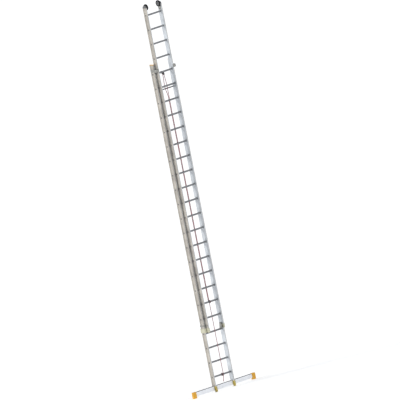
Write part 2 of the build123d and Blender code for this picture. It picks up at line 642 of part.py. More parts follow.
with BuildPart() as fly_strap_rivets:
    for side_name, side in SIDES:
        for y, z in strap_rivet_spots:
            with Locations(Location((side * (FLY_HALF_WIDTH + SHEET + 1), y, z), (0, 90 * side, 0))):
                Cone(5.5, 3.5, 2)
            with Locations(Location((side * (FLY_HALF_WIDTH - 0.5), y, z), (0, 90, 0))):
                Cylinder(RIVET_RADIUS, 7)
keep(fly_strap_rivets, "fly_strap_rivets")

# ---- rung hooks at the foot of the fly: they hang clear here and swing back over a base rung ----
HOOK_BOSS_RADIUS = 17
HOOK_NUT_RADIUS = 9
hook_turn = math.radians(-HOOK_SWING)
hook_back = (0, math.cos(hook_turn), math.sin(hook_turn))
for side_name, side in SIDES:
    hook_side_x = side * HOOK_X - HOOK_WIDTH / 2
    with BuildPart() as rung_hook:
        # drawn as it stands over the rung, on a plane turned to the hanging position
        hook_plane = Plane(
            origin=(hook_side_x, HOOK_PIVOT_Y, HOOK_PIVOT_Z), x_dir=hook_back, z_dir=(1, 0, 0)
        )
        with BuildSketch(hook_plane):
            with BuildLine():
                Polyline(
                    (-15, -8),
                    (22, -96),
                    (30, -104),
                    (41, -100),
                    (41, -76),
                    (47, -70),
                    (75, -70),
                    (75, -82),
                    (80, -77),
                    (88, -66),
                    (90, -52),
                    (78, -40),
                    (15, 8),
                    close=True,
                )
            make_face()
            Circle(HOOK_BOSS_RADIUS)
            Circle(HOOK_BOLT_RADIUS + RUNNING_FIT, mode=Mode.SUBTRACT)
        extrude(amount=HOOK_WIDTH)
    keep(rung_hook, f"rung_hook_{side_name}")

    with BuildPart() as hook_spring:
        spring_low = HOOK_X + HOOK_WIDTH / 2 + 0.5
        spring_high = fly_inner_x - 2.5
        spring_x = side * (spring_low + spring_high) / 2
        with Locations(Location((spring_x, HOOK_PIVOT_Y, HOOK_PIVOT_Z), (0, 90, 0))):
            Cylinder(13, spring_high - spring_low)
            Cylinder(9, spring_high - spring_low, mode=Mode.SUBTRACT)
    keep(hook_spring, f"hook_spring_{side_name}")

with BuildPart() as hook_bolts:
    for side_name, side in SIDES:
        head_x = HOOK_X - HOOK_WIDTH / 2 - 0.5
        end_x = FLY_HALF_WIDTH - CHANNEL_DEPTH + 6
        bolt_x = side * (head_x + end_x) / 2
        with Locations(Location((bolt_x, HOOK_PIVOT_Y, HOOK_PIVOT_Z), (0, 90, 0))):
            Cylinder(HOOK_BOLT_RADIUS, end_x - head_x)
        with BuildSketch(Plane.YZ.offset(side * head_x)):
            with Locations((HOOK_PIVOT_Y, HOOK_PIVOT_Z)):
                RegularPolygon(11, 6)
        extrude(amount=-side * 7)
        with BuildSketch(Plane.YZ.offset(side * (FLY_HALF_WIDTH - CHANNEL_DEPTH))):
            with Locations((HOOK_PIVOT_Y, HOOK_PIVOT_Z)):
                RegularPolygon(HOOK_NUT_RADIUS, 6, rotation=30)
        extrude(amount=side * 6)
keep(hook_bolts, "hook_bolts")

# ---- wall rollers at the top of the fly ----
BRACKET_THICKNESS = 4
bracket_x = fly_inner_x - BRACKET_THICKNESS
HUB_LENGTH = ROLLER_WIDTH + 2
for side_name, side in SIDES:
    with BuildPart() as roller_bracket:
        with BuildSketch(Plane.YZ.offset(side * bracket_x)):
            with Locations((FLY_Y, ROLLER_Z)):
                Circle(33)
            with Locations((FLY_Y, ROLLER_Z - 62)):
                Rectangle(66, 124)
            with Locations((FLY_Y, ROLLER_Z)):
                Circle(AXLE_RADIUS + FIT, mode=Mode.SUBTRACT)
            with Locations(*roller_bolt_spots):
                Circle(ROLLER_BOLT_RADIUS + FIT, mode=Mode.SUBTRACT)
        extrude(amount=side * BRACKET_THICKNESS)
    keep(roller_bracket, f"roller_bracket_{side_name}")

    with BuildPart() as roller_tyre:
        with BuildSketch(Plane.XY):
            with Locations((0, (ROLLER_RADIUS + HUB_RADIUS) / 2)):
                tyre_outline = Rectangle(ROLLER_WIDTH, ROLLER_RADIUS - HUB_RADIUS)
            fillet(tyre_outline.vertices().group_by(Axis.Y)[-1], 7)
        revolve(axis=Axis.X)
    roller_tyre.part.position = Vector(side * ROLLER_X, FLY_Y, ROLLER_Z)
    keep(roller_tyre, f"roller_tyre_{side_name}")

    with BuildPart() as roller_hub:
        with BuildSketch(Plane.XY):
            with BuildLine():
                Polyline(
                    (-HUB_LENGTH / 2, AXLE_RADIUS + RUNNING_FIT),
                    (-HUB_LENGTH / 2, 13),
                    (-6, 16),
                    (-6, 33),
                    (-ROLLER_WIDTH / 2 + 1, 35),
                    (-ROLLER_WIDTH / 2 + 1, HUB_RADIUS),
                    (ROLLER_WIDTH / 2 - 1, HUB_RADIUS),
                    (ROLLER_WIDTH / 2 - 1, 35),
                    (6, 33),
                    (6, 16),
                    (HUB_LENGTH / 2, 13),
                    (HUB_LENGTH / 2, AXLE_RADIUS + RUNNING_FIT),
                    close=True,
                )
            make_face()
        revolve(axis=Axis.X)
        with BuildSketch(Plane.YZ.offset(-20)):
            with PolarLocations(24.5, 6):
                Circle(5.5)
        extrude(amount=40, mode=Mode.SUBTRACT)
    roller_hub.part.position = Vector(side * ROLLER_X, FLY_Y, ROLLER_Z)
    keep(roller_hub, f"roller_hub_{side_name}")

with BuildPart() as roller_axles:
    for side_name, side in SIDES:
        head_x = ROLLER_X - HUB_LENGTH / 2 - 0.3
        with Locations(Location((side * (head_x + fly_inner_x) / 2, FLY_Y, ROLLER_Z), (0, 90, 0))):
            Cylinder(AXLE_RADIUS, fly_inner_x - head_x)
        with Locations(Location((side * (head_x - 3), FLY_Y, ROLLER_Z), (0, -90 * side, 0))):
            Cone(11, 9, 6)
keep(roller_axles, "roller_axles")

with BuildPart() as roller_bolts:
    for side_name, side in SIDES:
        nut_x = FLY_HALF_WIDTH - CHANNEL_DEPTH
        with BuildSketch(Plane.YZ.offset(side * bracket_x)):
            with Locations(*roller_bolt_spots):
                RegularPolygon(7.5, 6)
        extrude(amount=-side * 5)
        with BuildSketch(Plane.YZ.offset(side * bracket_x)):
            with Locations(*roller_bolt_spots):
                Circle(ROLLER_BOLT_RADIUS)
        extrude(amount=side * (nut_x - bracket_x))
        with BuildSketch(Plane.YZ.offset(side * nut_x)):
            with Locations(*roller_bolt_spots):
                RegularPolygon(7.5, 6)
        extrude(amount=side * 5)
keep(roller_bolts, "roller_bolts")
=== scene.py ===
# %% [markdown]
# # A two-section extension ladder
# The CAD model is the frame of this scene: every rail, rung, hook and wheel is already in its
# place, in metres, with +Z up along the rails. Blender adds what CAD is poor at: braided rope,
# knots, wire springs and the finish of every surface. The first cell loads the frame.

# %% Load the frame
import math

import bpy
from mathutils import Matrix, Vector


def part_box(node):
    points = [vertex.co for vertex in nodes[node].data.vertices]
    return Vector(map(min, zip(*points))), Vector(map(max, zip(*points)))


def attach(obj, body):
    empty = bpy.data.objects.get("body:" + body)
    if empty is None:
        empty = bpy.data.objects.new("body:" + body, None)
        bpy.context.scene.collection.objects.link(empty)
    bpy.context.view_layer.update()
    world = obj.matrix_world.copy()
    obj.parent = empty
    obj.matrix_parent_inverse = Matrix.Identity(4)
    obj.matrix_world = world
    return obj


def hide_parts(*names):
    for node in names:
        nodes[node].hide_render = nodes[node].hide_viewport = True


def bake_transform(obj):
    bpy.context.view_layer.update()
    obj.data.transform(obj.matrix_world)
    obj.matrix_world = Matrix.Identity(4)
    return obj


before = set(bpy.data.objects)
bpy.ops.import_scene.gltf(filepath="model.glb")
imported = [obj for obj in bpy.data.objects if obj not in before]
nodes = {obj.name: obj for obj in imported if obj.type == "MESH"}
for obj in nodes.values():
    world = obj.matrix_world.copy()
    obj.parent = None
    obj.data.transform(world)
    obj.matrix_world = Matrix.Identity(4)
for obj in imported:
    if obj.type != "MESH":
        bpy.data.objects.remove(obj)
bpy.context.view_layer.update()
SIDES = (("left", -1), ("right", 1))

# %% [markdown]
# ## Camera
# A long lens far away shows a tall thing with almost no perspective, so the camera here is
# orthographic. It looks from the front left, a little above, and it is rolled, which makes the
# upright model lean the way a ladder leans against a wall. The three axes of the camera are
# worked out one by one, because a roll is easy to get backwards with Euler angles.

# %% Place the camera
AZIMUTH = math.radians(-39.7)
ELEVATION = math.radians(9.0)
ROLL = math.radians(11.07)
VIEW_WIDTH = 7.533
VIEW_CENTRE = (-0.461, 3.556)
CAMERA_DISTANCE = 20.0

level_right = Vector((math.cos(AZIMUTH), math.sin(AZIMUTH), 0))
back = Vector((
    math.sin(AZIMUTH) * math.cos(ELEVATION),
    -math.cos(AZIMUTH) * math.cos(ELEVATION),
    math.sin(ELEVATION),
))
level_up = back.cross(level_right)
right = level_right * math.cos(ROLL) - level_up * math.sin(ROLL)
up = back.cross(right)

camera_data = bpy.data.cameras.new("camera")
camera_data.type = "ORTHO"
camera_data.ortho_scale = VIEW_WIDTH
camera_data.clip_end = 200
camera = bpy.data.objects.new("camera", camera_data)
bpy.context.scene.collection.objects.link(camera)
place = right * VIEW_CENTRE[0] + up * VIEW_CENTRE[1] + back * CAMERA_DISTANCE
camera.matrix_world = Matrix.Translation(place) @ Matrix((right, up, back)).transposed().to_4x4()
bpy.context.scene.camera = camera
bpy.context.scene.view_settings.view_transform = "Standard"
print("camera at", [round(c, 2) for c in place])

# %% [markdown]
# ## Small helpers for meshes
# Every piece below ends as a plain mesh whose object stays at the origin, with its place in its
# own vertices, as the CAD nodes have. Keeping to one habit makes the patterns of the materials
# sit still, because they all read object coordinates.

# %% Mesh helpers
def make_object(name, vertices, faces, smooth=True):
    """A mesh object at the origin from lists of points and faces."""
    mesh = bpy.data.meshes.new(name)
    mesh.from_pydata([tuple(v) for v in vertices], [], faces)
    mesh.validate()
    mesh.shade_smooth() if smooth else mesh.shade_flat()
    piece = bpy.data.objects.new(name, mesh)
    bpy.context.scene.collection.objects.link(piece)
    return piece


def dress(piece, material):
    """Give a piece its one material."""
    piece.data.materials.clear()
    piece.data.materials.append(material)


# %% [markdown]
# ## Procedural finishes: one recipe, many metals and plastics
# Most of this object is extruded aluminium, moulded plastic or plated steel. They differ in
# colour, gloss and grain, not in kind, so one recipe covers them: two noises in object
# coordinates, one broad for handling marks and one fine for the grain, drive the colour, the
# roughness and a bump. The fine noise is squeezed across and stretched along one axis, which
# gives the die lines that an extrusion press leaves.

# %% The recipe
def finish(name, dark, light, metallic, rough, grain, depth, broad=6.0, detail=3.0):
    """A material from two colours, a roughness range, a grain scale in 1/m and a bump depth in m."""
    material = bpy.data.materials.new(name)
    material.use_nodes = True
    tree = material.node_tree
    shader = tree.nodes["Principled BSDF"]
    shader.inputs["Metallic"].default_value = metallic
    place_node = tree.nodes.new("ShaderNodeTexCoord")
    stretch = tree.nodes.new("ShaderNodeMapping")
    stretch.inputs["Scale"].default_value = grain
    fine = tree.nodes.new("ShaderNodeTexNoise")
    fine.inputs["Scale"].default_value = 1.0
    fine.inputs["Detail"].default_value = detail
    wide = tree.nodes.new("ShaderNodeTexNoise")
    wide.inputs["Scale"].default_value = broad
    wide.inputs["Detail"].default_value = 5.0
    mixed = tree.nodes.new("ShaderNodeMath")
    mixed.operation = "MULTIPLY_ADD"
    mixed.inputs[1].default_value = 0.45
    ramp = tree.nodes.new("ShaderNodeValToRGB")
    ramp.color_ramp.elements[0].position = 0.35
    ramp.color_ramp.elements[0].color = (*dark, 1)
    ramp.color_ramp.elements[1].position = 0.75
    ramp.color_ramp.elements[1].color = (*light, 1)
    gloss = tree.nodes.new("ShaderNodeMapRange")
    gloss.inputs["From Min"].default_value = 0.3
    gloss.inputs["From Max"].default_value = 0.7
    gloss.inputs["To Min"].default_value = rough[0]
    gloss.inputs["To Max"].default_value = rough[1]
    bump = tree.nodes.new("ShaderNodeBump")
    bump.inputs["Strength"].default_value = 0.5
    bump.inputs["Distance"].default_value = depth
    tree.links.new(place_node.outputs["Object"], stretch.inputs["Vector"])
    tree.links.new(stretch.outputs["Vector"], fine.inputs["Vector"])
    tree.links.new(place_node.outputs["Object"], wide.inputs["Vector"])
    tree.links.new(fine.outputs["Fac"], mixed.inputs[0])
    scaled = tree.nodes.new("ShaderNodeMath")
    scaled.operation = "MULTIPLY"
    scaled.inputs[1].default_value = 0.55
    tree.links.new(wide.outputs["Fac"], scaled.inputs[0])
    tree.links.new(scaled.outputs[0], mixed.inputs[2])
    tree.links.new(mixed.outputs[0], ramp.inputs["Fac"])
    tree.links.new(ramp.outputs["Color"], shader.inputs["Base Color"])
    tree.links.new(wide.outputs["Fac"], gloss.inputs["Value"])
    tree.links.new(gloss.outputs["Result"], shader.inputs["Roughness"])
    tree.links.new(fine.outputs["Fac"], bump.inputs["Height"])
    tree.links.new(bump.outputs["Normal"], shader.inputs["Normal"])
    return material


# %% [markdown]
# ## One part, two tints
# The outer half of each rail is tinted warmer and darker, a painted reflection, and the inner
# half lighter and cooler, painted light; the bar at the foot is tinted near black along its top.
# Both are a matter of place: one object coordinate, compared with one number, chooses between
# two tints of the same finish.

# %% Tint by place
def tint_past(material, axis, limit, past, before):
    """Multiply the base colour by one tint where |axis| is past a limit and by another before it."""
    tree = material.node_tree
    shader = tree.nodes["Principled BSDF"]
    colour = shader.inputs["Base Color"].links[0].from_socket
    place_node = tree.nodes.new("ShaderNodeTexCoord")
    parts = tree.nodes.new("ShaderNodeSeparateXYZ")
    distance = tree.nodes.new("ShaderNodeMath")
    distance.operation = "ABSOLUTE"
    outside = tree.nodes.new("ShaderNodeMath")
    outside.operation = "GREATER_THAN"
    outside.inputs[1].default_value = limit
    tint = tree.nodes.new("ShaderNodeMix")
    tint.data_type = "RGBA"
    tint.inputs["A"].default_value = (*before, 1)
    tint.inputs["B"].default_value = (*past, 1)
    product = tree.nodes.new("ShaderNodeMix")
    product.data_type = "RGBA"
    product.blend_type = "MULTIPLY"
    product.inputs["Factor"].default_value = 1.0
    tree.links.new(place_node.outputs["Object"], parts.inputs["Vector"])
    tree.links.new(parts.outputs[axis], distance.inputs[0])
    tree.links.new(distance.outputs[0], outside.inputs[0])
    tree.links.new(outside.outputs[0], tint.inputs["Factor"])
    tree.links.new(colour, product.inputs["A"])
    tree.links.new(tint.outputs["Result"], product.inputs["B"])
    tree.links.new(product.outputs["Result"], shader.inputs["Base Color"])


# %% [markdown]
# ## The metals
# Mill-finish aluminium is grey and soft in its gloss. The rails carry die lines along Z, the
# rungs and the traverse bar along X. Zinc plate is a little warmer and blotchy, and the bracket of
# the rope's wheel has a black coat with a coarse skin.

# %% Metals
ALONG_Z = (900, 900, 4)
ALONG_X = (4, 900, 900)
EVEN = (700, 700, 700)
RAIL_COLOURS = ((0.50, 0.50, 0.50), (0.72, 0.72, 0.72))
# Painted light on the rails: the outer half is tinted warmer and darker, a painted reflection, and the
# inner half lighter and cooler, painted light.
OUTER_PAINTED_REFLECTION_TINT = (0.95, 0.89, 0.80)
INNER_PAINTED_LIGHT_TINT = (1.12, 1.17, 1.22)
BASE_OUTER_X = 0.233
FLY_OUTER_X = 0.189
BAR_TOP_DARK_Z = 0.1105
BAR_TOP_DARK_TINT = (0.05, 0.05, 0.06)
base_rail = finish("base_rail_aluminium", *RAIL_COLOURS, 0.85, (0.34, 0.48), ALONG_Z, 0.0003)
tint_past(base_rail, "X", BASE_OUTER_X, OUTER_PAINTED_REFLECTION_TINT, INNER_PAINTED_LIGHT_TINT)
fly_rail = finish("fly_rail_aluminium", *RAIL_COLOURS, 0.85, (0.34, 0.48), ALONG_Z, 0.0003)
tint_past(fly_rail, "X", FLY_OUTER_X, OUTER_PAINTED_REFLECTION_TINT, INNER_PAINTED_LIGHT_TINT)
# Painted shade: the rungs are the same aluminium as the rails, painted dark grey for the shade that the
# round tubes show.
RUNG_PAINTED_SHADE_COLOURS = ((0.20, 0.205, 0.215), (0.31, 0.315, 0.325))
rung_painted_shade_metal = finish("rung_aluminium", *RUNG_PAINTED_SHADE_COLOURS, 0.8, (0.40, 0.55), ALONG_X, 0.0003)
BAR_COLOURS = ((0.80, 0.82, 0.86), (0.87, 0.89, 0.93))
bar_metal = finish("bar_aluminium", *BAR_COLOURS, 0.1, (0.38, 0.5), ALONG_X, 0.0002)
# The bar is tinted near black along its top, above one height.
tint_past(bar_metal, "Z", BAR_TOP_DARK_Z, BAR_TOP_DARK_TINT, (1, 1, 1))
BRACE_COLOURS = ((0.05, 0.05, 0.06), (0.10, 0.10, 0.12))
brace_metal = finish("brace_aluminium", *BRACE_COLOURS, 0.7, (0.35, 0.5), ALONG_X, 0.0002)
ZINC_COLOURS = ((0.30, 0.30, 0.28), (0.50, 0.49, 0.46))
zinc_metal = finish("zinc_plate", *ZINC_COLOURS, 0.9, (0.3, 0.5), EVEN, 0.0002, broad=40)
BLACK_COLOURS = ((0.02, 0.02, 0.022), (0.05, 0.05, 0.055))
black_coat = finish("black_coat", *BLACK_COLOURS, 0.3, (0.5, 0.7), EVEN, 0.0006)

# %% [markdown]
# ## Plastics and rubber
# The amber caps are glossy and slightly uneven in colour, as moulded polyamide is. The shoes on
# the fly are a paler yellow, the boots are an olive rubber with a dusty skin, and the tyres and
# the rope's wheel are black.

# %% Plastics
AMBER_COLOURS = ((0.66, 0.33, 0.02), (0.80, 0.43, 0.03))
amber_plastic = finish("amber_plastic", *AMBER_COLOURS, 0.0, (0.32, 0.45), EVEN, 0.0002)
PALE_COLOURS = ((0.44, 0.43, 0.32), (0.72, 0.70, 0.54))
pale_plastic = finish("pale_plastic", *PALE_COLOURS, 0.0, (0.4, 0.55), EVEN, 0.0002)
BOOT_COLOURS = ((0.40, 0.30, 0.06), (0.70, 0.55, 0.15))
boot_rubber = finish("boot_rubber", *BOOT_COLOURS, 0.0, (0.55, 0.75), EVEN, 0.0005)
GREY_COLOURS = ((0.12, 0.125, 0.13), (0.20, 0.20, 0.20))
grey_plastic = finish("grey_plastic", *GREY_COLOURS, 0.0, (0.4, 0.6), EVEN, 0.0003)
TYRE_COLOURS = ((0.006, 0.006, 0.007), (0.018, 0.018, 0.019))
tyre_rubber = finish("tyre_rubber", *TYRE_COLOURS, 0.0, (0.5, 0.75), EVEN, 0.0006)
tyre_rubber.node_tree.nodes["Principled BSDF"].inputs["Specular IOR Level"].default_value = 0.2
WHEEL_COLOURS = ((0.008, 0.008, 0.010), (0.02, 0.02, 0.023))
black_plastic = finish("black_plastic", *WHEEL_COLOURS, 0.0, (0.35, 0.5), EVEN, 0.0003)
print("plastics and rubber ready")

# %% [markdown]
# ## Dress the CAD nodes
# The carried-over nodes keep their meshes and only get their finish. A dictionary from finish to
# node names reads like a parts list, and the loop at the end warns of any node left out.

# %% Assign finishes
def both(stem):
    """The left and the right name of a part that comes in pairs."""
    return [f"{stem}_{side_name}" for side_name, _ in SIDES]


dressed = {
    base_rail: both("base_stile"),
    fly_rail: both("fly_stile"),
    rung_painted_shade_metal: ["base_rungs", "fly_rungs"],
    bar_metal: ["traverse_bar"],
    brace_metal: ["top_cross_brace"],
    zinc_metal: both("base_guide") + both("fly_strap") + both("roller_bracket") + both("rung_hook") + [
        "traverse_bolts", "traverse_nuts", "base_guide_rivets", "brace_rivets", "fly_strap_rivets",
        "hook_bolts", "roller_axles", "roller_bolts", "pulley_pin_and_clamp_bolt",
    ],
    black_coat: ["pulley_bracket"],
    amber_plastic: both("base_top_cap") + both("traverse_end_cap"),
    pale_plastic: both("fly_shoe"),
    boot_rubber: both("base_foot"),
    grey_plastic: both("fly_top_cap") + both("roller_hub") + both("base_glide") + [
        "base_rung_plugs", "fly_rung_plugs",
    ],
    tyre_rubber: both("roller_tyre"),
    black_plastic: ["pulley_wheel"],
}
for material, names in dressed.items():
    for name in names:
        dress(nodes[name], material)
ROPE_NODES = ["rope_haul", "rope_lift", "rope_tail", "rope_knot", "rope_hitch", "rope_end_knot"]
REMADE = ROPE_NODES + both("hook_spring")
print("undressed", sorted(set(nodes) - {n for names in dressed.values() for n in names} - set(REMADE)))

# %% [markdown]
# ## The rope's routes
# A rope is first a line. Each route is a short list of points on a NURBS curve of order three,
# which gives one smooth line that keeps close to its points. The hauling rope starts at the lower
# end of a slack eye, goes up round the wheel under the base's top rung and comes straight down to
# its hitch on the lowest rung. The curve is turned into a mesh with no thickness, and the points
# of that mesh are what the braid follows.

# %% Routes and their centre lines
ROPE_DIAMETER = 0.012
ROPE_Y = -0.038
HAUL_ROUTE = [
    (-0.007, ROPE_Y, 5.640), (-0.007, ROPE_Y, 5.705), (-0.044, ROPE_Y, 5.835), (-0.047, ROPE_Y, 5.925),
    (-0.038, ROPE_Y, 6.045), (-0.037, ROPE_Y, 6.104), (-0.037, ROPE_Y, 6.135), (-0.027, ROPE_Y, 6.145),
    (-0.013, ROPE_Y, 6.145), (-0.003, ROPE_Y, 6.135), (-0.003, ROPE_Y, 6.104), (-0.002, ROPE_Y, 6.045),
    (0.013, ROPE_Y, 5.910), (0.010, ROPE_Y, 5.780), (0.010, ROPE_Y, 0.306),
]
LIFT_ROUTE = [(-0.007, ROPE_Y, 5.640), (-0.007, ROPE_Y, 1.722)]
TAIL_ROUTE = [
    (0.010, -0.038, 0.268), (0.012, -0.030, 0.228), (0.008, -0.017, 0.188), (0.011, -0.006, 0.150),
]


def centre_line(name, route):
    """Points along the NURBS curve that a route describes."""
    curve = bpy.data.curves.new(name, "CURVE")
    curve.dimensions = "3D"
    curve.resolution_u = 48
    spline = curve.splines.new("NURBS")
    spline.points.add(len(route) - 1)
    for point, where in zip(spline.points, route):
        point.co = (*where, 1)
    spline.order_u = min(3, len(route))
    spline.use_endpoint_u = True
    guide = bpy.data.objects.new(name, curve)
    bpy.context.scene.collection.objects.link(guide)
    bpy.context.view_layer.update()
    line = bpy.data.meshes.new_from_object(guide.evaluated_get(bpy.context.evaluated_depsgraph_get()))
    points = [v.co.copy() for v in line.vertices]
    bpy.data.objects.remove(guide)
    bpy.data.meshes.remove(line)
    return points


def length_of(points):
    """The length of a line of points."""
    return sum((b - a).length for a, b in zip(points, points[1:]))


lines = {
    "rope_haul": centre_line("haul_line", HAUL_ROUTE),
    "rope_lift": centre_line("lift_line", LIFT_ROUTE),
    "rope_tail": centre_line("tail_line", TAIL_ROUTE),
}
for name, points in lines.items():
    print(name, "length", round(length_of(points), 3), "m in", len(points), "points")

# %% [markdown]
# ## Braiding the rope
# A braid is two sets of strands that cross over and under. On a rope this thin, what shows is a
# chequer of little humps, so the tube has rings of sixteen points and every other point sinks a
# little, shifted by one from ring to ring. The tube carries a UV map, angle against length, which
# the flecked colour reads, so the flecks follow the rope wherever it goes.

# %% Braided tube
AROUND = 16
RING_STEP = 0.003
SINK = 0.10


def walk(points, step):
    """Points at equal steps along a line, both ends included."""
    total = length_of(points)
    count = max(2, round(total / step))
    spaced, travelled, index = [points[0]], 0.0, 0
    for k in range(1, count):
        target = total * k / count
        while travelled + (points[index + 1] - points[index]).length < target:
            travelled += (points[index + 1] - points[index]).length
            index += 1
        run = points[index + 1] - points[index]
        spaced.append(points[index] + run * ((target - travelled) / run.length))
    return spaced + [points[-1]]


def braided_tube(name, points, radius, material):
    """A closed tube along a line, with the low relief of a braid and a UV map."""
    spine = walk(points, RING_STEP)
    side = Vector((0, 1, 0))
    vertices, faces, coordinates = [], [], []
    for k, centre in enumerate(spine):
        ahead = spine[min(k + 1, len(spine) - 1)] - spine[max(k - 1, 0)]
        ahead.normalize()
        side = (side - ahead * side.dot(ahead)).normalized()
        other = ahead.cross(side)
        for j in range(AROUND):
            angle = 2 * math.pi * j / AROUND
            reach = radius * (1 - SINK * ((j + k) % 2))
            vertices.append(centre + (side * math.cos(angle) + other * math.sin(angle)) * reach)
    for k in range(len(spine) - 1):
        for j in range(AROUND):
            a, b = k * AROUND + j, k * AROUND + (j + 1) % AROUND
            faces.append((a, b, b + AROUND, a + AROUND))
            coordinates.append([(j, k), (j + 1, k), (j + 1, k + 1), (j, k + 1)])
    last = (len(spine) - 1) * AROUND
    faces.append(tuple(reversed(range(AROUND))))
    faces.append(tuple(last + j for j in range(AROUND)))
    piece = make_object(name, vertices, faces)
    uv = piece.data.uv_layers.new(name="along")
    loop = 0
    for corners in coordinates:
        for u, v in corners:
            uv.data[loop].uv = (u / AROUND, v * RING_STEP)
            loop += 1
    dress(piece, material)
    return piece


# %% [markdown]
# ## The rope's colour
# Seen close, such rope is woven from red and grey yarns. The colour is a pattern in the rope's own
# UV map: slanting cells, long and narrow like a stitch of the braid, are red, grey or dark red.
# The knots are pulled tight and hold more dirt, so they are the same weave in a darker red.

# %% Rope materials
def rope_finish(name, base, fleck, grime):
    """A rope's cloth from the colours of its yarns and of its dirt."""
    material = bpy.data.materials.new(name)
    material.use_nodes = True
    tree = material.node_tree
    shader = tree.nodes["Principled BSDF"]
    shader.inputs["Roughness"].default_value = 0.85
    shader.inputs["Sheen Weight"].default_value = 0.3
    shader.inputs["Sheen Roughness"].default_value = 0.5
    uv = tree.nodes.new("ShaderNodeUVMap")
    uv.uv_map = "along"
    spread = tree.nodes.new("ShaderNodeMapping")
    spread.inputs["Scale"].default_value = (8, 170, 1)
    spread.inputs["Rotation"].default_value = (0, 0, 0.6)
    cells = tree.nodes.new("ShaderNodeTexVoronoi")
    cells.inputs["Scale"].default_value = 1.0
    yarn = tree.nodes.new("ShaderNodeValToRGB")
    yarn.color_ramp.interpolation = "CONSTANT"
    yarn.color_ramp.elements[0].color = (*base, 1)
    yarn.color_ramp.elements[1].position = 0.55
    yarn.color_ramp.elements[1].color = (*fleck, 1)
    dark = yarn.color_ramp.elements.new(0.85)
    dark.color = (*grime, 1)
    place_node = tree.nodes.new("ShaderNodeTexCoord")
    hairs = tree.nodes.new("ShaderNodeTexNoise")
    hairs.inputs["Scale"].default_value = 2500
    bump = tree.nodes.new("ShaderNodeBump")
    bump.inputs["Distance"].default_value = 0.0006
    tree.links.new(uv.outputs["UV"], spread.inputs["Vector"])
    tree.links.new(spread.outputs["Vector"], cells.inputs["Vector"])
    tree.links.new(cells.outputs["Color"], yarn.inputs["Fac"])
    tree.links.new(yarn.outputs["Color"], shader.inputs["Base Color"])
    tree.links.new(place_node.outputs["Object"], hairs.inputs["Vector"])
    tree.links.new(hairs.outputs["Fac"], bump.inputs["Height"])
    tree.links.new(bump.outputs["Normal"], shader.inputs["Normal"])
    return material


rope_cloth = rope_finish("rope_braid", (0.40, 0.06, 0.08), (0.26, 0.20, 0.20), (0.12, 0.035, 0.04))
knot_cloth = rope_finish("rope_knotted", (0.20, 0.04, 0.05), (0.13, 0.10, 0.10), (0.06, 0.02, 0.02))

# %% [markdown]
# ## Make and hang the three lengths of rope
# The hauling rope and the tail stay with the base. The lifting run is tied to the fly, which
# slides; here its place is only baked into its vertices, and it follows neither body.

# %% Rope pieces
rope = {}
for name, points in lines.items():
    rope[name] = braided_tube(f"{name}_braid", points, ROPE_DIAMETER / 2, rope_cloth)
    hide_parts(name)
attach(rope["rope_haul"], "base")
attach(rope["rope_tail"], "base")
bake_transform(rope["rope_lift"])

# %% [markdown]
# ## Knots
# A knot is rope too. Each one here is a round turn about a rung with a wrapped lump where the
# standing rope meets it. The turn is a braided tube along a circle, and the lump is a short helix
# of wraps round the rope, laid just inside the CAD solid that holds its place.

# %% Round turns and wraps
WRAPS = 3
WRAP_POINTS = 14
WRAP_RADIUS = 0.0052
WRAP_HEIGHT = 0.026
WRAP_THICKNESS = 0.0043
WRAP_LIFT = 0.003
CORE_HEIGHTS = (-0.016, 0.0, 0.0225)
CORE_SHARE = 0.98
FLY_RUNG_Y = -0.072
BASE_RUNG_Y = 0.0
STOPPER_RADIUS = 0.0045
STOPPER_HEIGHT = 0.011
STOPPER_THICKNESS = 0.0042


def circle_route(centre, radius, count=40):
    """Points of a closed turn about a rung, in the plane across it."""
    return [
        Vector((centre.x, centre.y + radius * math.cos(a), centre.z + radius * math.sin(a)))
        for a in [2 * math.pi * k / count for k in range(count + 1)]
    ]


def helix_route(centre, radius, height, turns, count):
    """Points of wraps about a vertical line."""
    total = turns * count
    return [
        centre + Vector((
            radius * math.cos(2 * math.pi * k / count),
            radius * math.sin(2 * math.pi * k / count),
            height * (k / total - 0.5),
        ))
        for k in range(total + 1)
    ]


def tied_knot(name, node, rung_y, body):
    """A round turn and its wraps, joined into one piece that stands for a CAD knot."""
    low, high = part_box(node)
    rung_z = (low.z + high.z) / 2
    turn_centre = Vector(((low.x + high.x) / 2, rung_y, rung_z))
    turn_radius = (high.z - low.z) / 2 - ROPE_DIAMETER / 2
    turn = circle_route(turn_centre, turn_radius)
    wrap_centre = Vector((turn_centre.x, ROPE_Y, rung_z + WRAP_LIFT))
    wraps = helix_route(wrap_centre, WRAP_RADIUS, WRAP_HEIGHT, WRAPS, WRAP_POINTS)
    core = [wrap_centre + Vector((0, 0, z)) for z in CORE_HEIGHTS]
    parts = [
        braided_tube("turn", turn, ROPE_DIAMETER / 2, knot_cloth),
        braided_tube("wraps", wraps, WRAP_THICKNESS, knot_cloth),
        braided_tube("core", core, ROPE_DIAMETER / 2 * CORE_SHARE, knot_cloth),
    ]
    with bpy.context.temp_override(active_object=parts[0], selected_editable_objects=parts):
        bpy.ops.object.join()
    knot = parts[0]
    knot.name = name
    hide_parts(node)
    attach(knot, body)
    return knot


knot = tied_knot("lift_knot_tied", "rope_knot", FLY_RUNG_Y, "fly")
hitch = tied_knot("haul_hitch_tied", "rope_hitch", BASE_RUNG_Y, "base")
end_low, end_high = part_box("rope_end_knot")
end_centre = (end_low + end_high) / 2
stopper = helix_route(end_centre, STOPPER_RADIUS, STOPPER_HEIGHT, WRAPS, WRAP_POINTS)
end_knot = braided_tube("tail_stopper_knot", stopper, STOPPER_THICKNESS, knot_cloth)
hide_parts("rope_end_knot")
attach(end_knot, "base")
print("knots", knot.name, hitch.name, end_knot.name)

